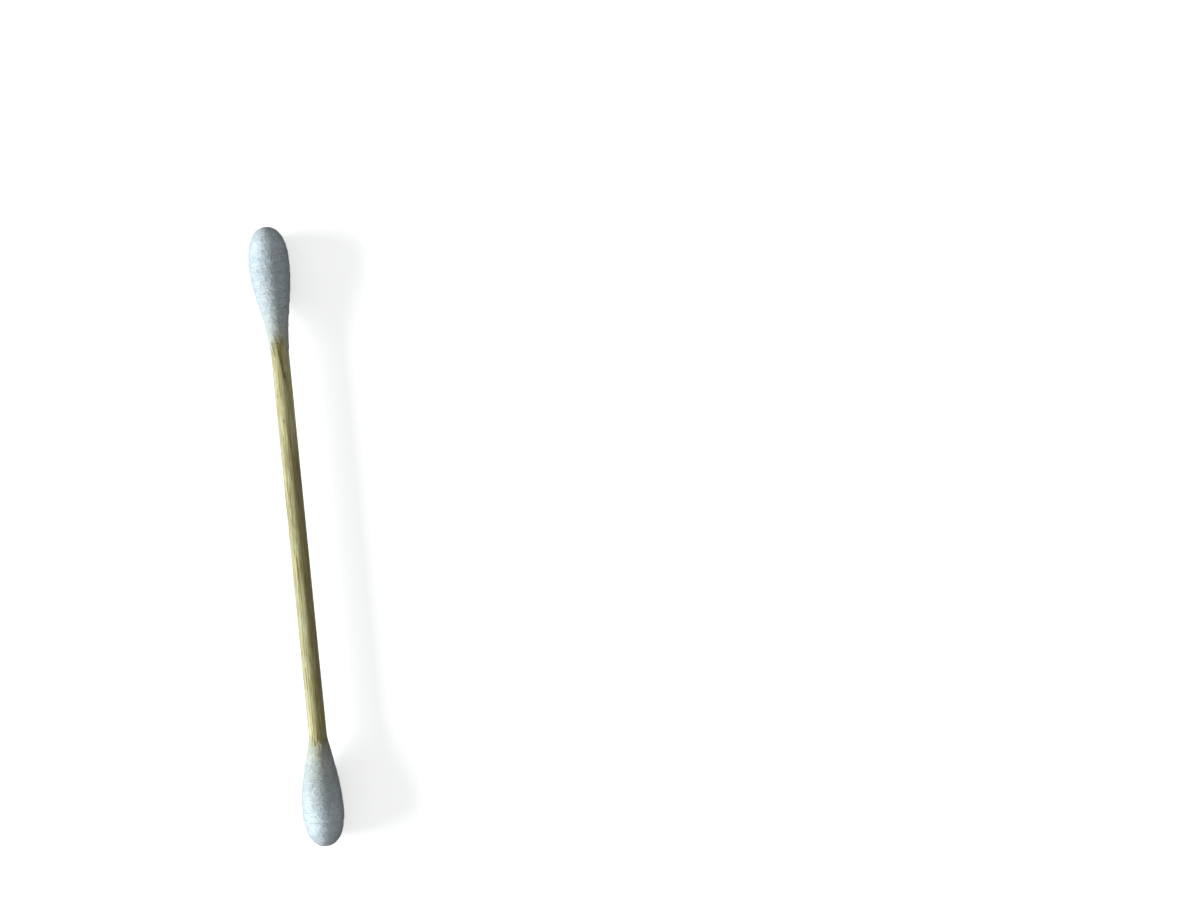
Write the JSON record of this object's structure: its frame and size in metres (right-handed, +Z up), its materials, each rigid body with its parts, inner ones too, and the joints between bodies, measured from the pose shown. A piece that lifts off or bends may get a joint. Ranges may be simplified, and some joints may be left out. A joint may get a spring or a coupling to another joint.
{
  "type": "cotton swab",
  "caption": "Straight round bamboo stick with a teardrop bud of spirally wound cotton on each end, lying on the small flat spots of its buds.",
  "frame": {"origin": "centre of the bounding box's bottom face, on the surface that the swab lies on", "axes": "+X along the stick towards the longer bud, +Z up from the surface that the swab lies on, +Y towards the side that the bellies of the buds lean to"},
  "size_m": [0.075, 0.005, 0.0048],
  "materials": {
    "bamboo": "planed bare bamboo, matt",
    "cotton": "wound bleached cotton, matt and slightly fluffy"
  },
  "bodies": {
    "root": {"bamboo_stick": "bamboo", "cotton_bud_far": "cotton", "cotton_bud_near": "cotton"}
  },
  "joints": []
}
